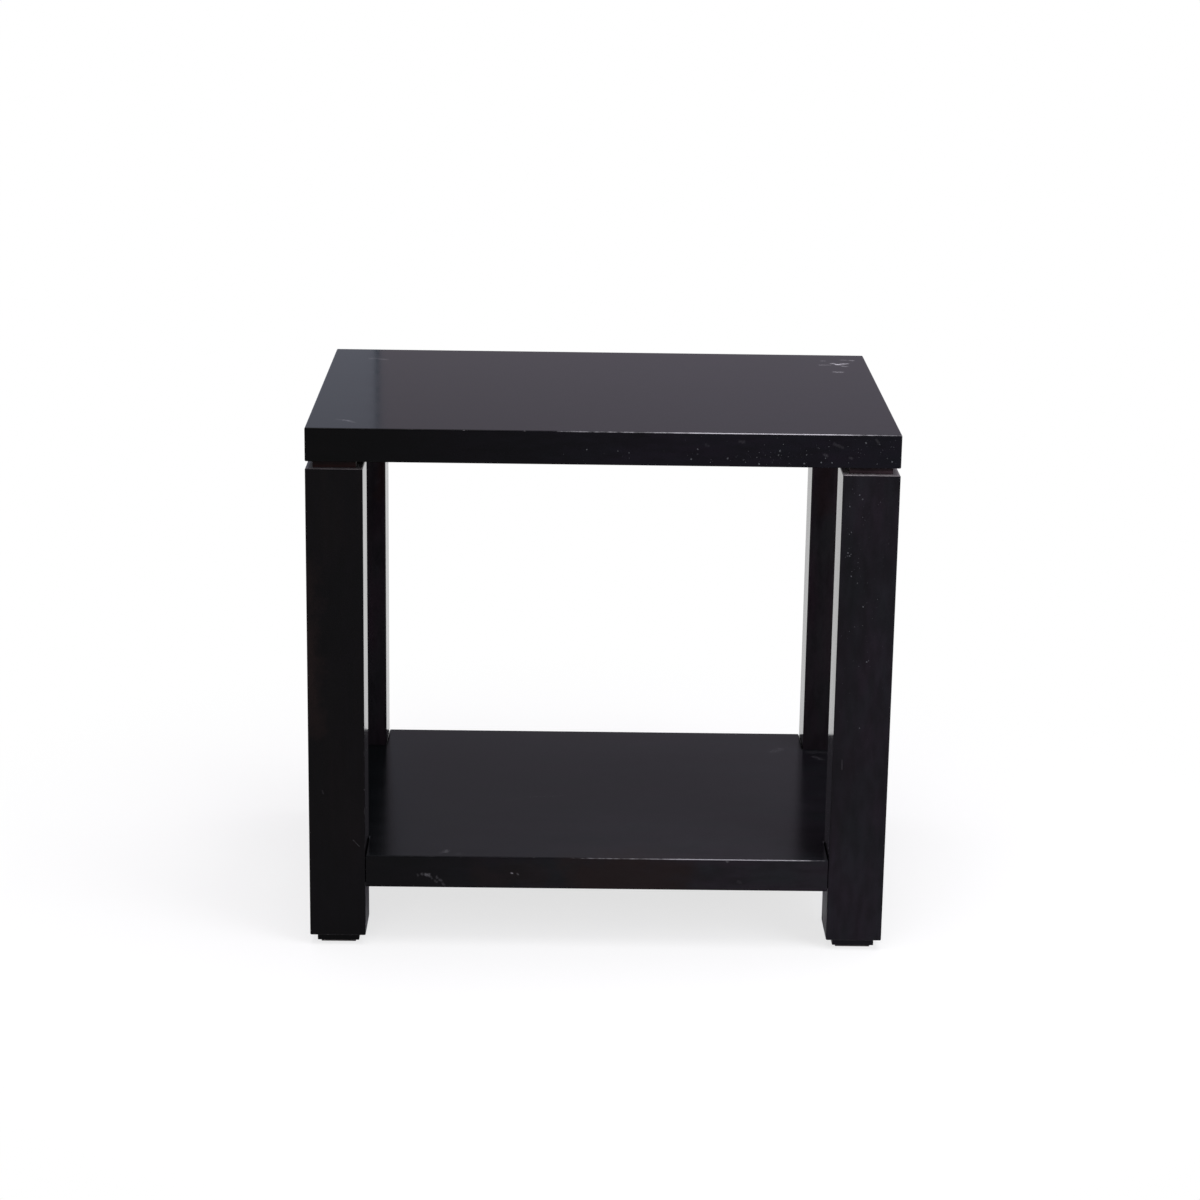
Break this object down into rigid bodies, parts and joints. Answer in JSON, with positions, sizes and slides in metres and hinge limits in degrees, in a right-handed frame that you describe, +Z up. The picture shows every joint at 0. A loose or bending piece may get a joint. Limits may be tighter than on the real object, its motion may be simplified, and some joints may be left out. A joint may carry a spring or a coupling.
{
  "type": "end table with shelf",
  "caption": "Dark lacquered end table: thick slab top on square legs with shadow gaps beneath it, and a lower shelf notched round the legs, on low recessed feet.",
  "frame": {"origin": "on the floor under the centre of the table", "axes": "+X along the width to the right seen from the front, +Y towards the back, +Z up"},
  "size_m": [0.66, 0.47, 0.61],
  "materials": {
    "black_lacquer": "dark espresso stain under semi-gloss lacquer",
    "stained_wood": "reddish-brown stain, satin",
    "core_wood": "unfinished softwood",
    "black_steel": "black coating, satin",
    "zinc_steel": "zinc plated",
    "felt": "pressed felt"
  },
  "bodies": {
    "root": {"top_upper_skin": "black_lacquer", "top_lower_skin": "black_lacquer", "shelf_upper_skin": "black_lacquer", "shelf_lower_skin": "black_lacquer", "top_front_rail": "black_lacquer", "shelf_front_rail": "black_lacquer", "top_back_rail": "black_lacquer", "shelf_back_rail": "black_lacquer", "top_left_rail": "black_lacquer", "shelf_left_rail": "black_lacquer", "top_right_rail": "black_lacquer", "shelf_right_rail": "black_lacquer", "leg_front_left": "black_lacquer", "reveal_block_front_left": "stained_wood", "foot_block_front_left": "stained_wood", "glide_pad_front_left": "felt", "shelf_bracket_front_left": "black_steel", "top_corner_block_front_left": "core_wood", "shelf_corner_block_front_left": "core_wood", "leg_front_right": "black_lacquer", "reveal_block_front_right": "stained_wood", "foot_block_front_right": "stained_wood", "glide_pad_front_right": "felt", "shelf_bracket_front_right": "black_steel", "top_corner_block_front_right": "core_wood", "shelf_corner_block_front_right": "core_wood", "leg_back_left": "black_lacquer", "reveal_block_back_left": "stained_wood", "foot_block_back_left": "stained_wood", "glide_pad_back_left": "felt", "shelf_bracket_back_left": "black_steel", "top_corner_block_back_left": "core_wood", "shelf_corner_block_back_left": "core_wood", "leg_back_right": "black_lacquer", "reveal_block_back_right": "stained_wood", "foot_block_back_right": "stained_wood", "glide_pad_back_right": "felt", "shelf_bracket_back_right": "black_steel", "top_corner_block_back_right": "core_wood", "shelf_corner_block_back_right": "core_wood", "top_core_rib_1": "core_wood", "top_core_rib_2": "core_wood", "top_core_rib_3": "core_wood", "shelf_core_rib_1": "core_wood", "shelf_core_rib_2": "core_wood", "top_mitre_splines": "core_wood", "leg_dowels": "core_wood", "threaded_inserts": "zinc_steel", "leg_hanger_bolts": "zinc_steel", "bracket_shelf_screws": "black_steel", "bracket_leg_screws": "black_steel", "foot_screws": "zinc_steel"}
  },
  "joints": []
}
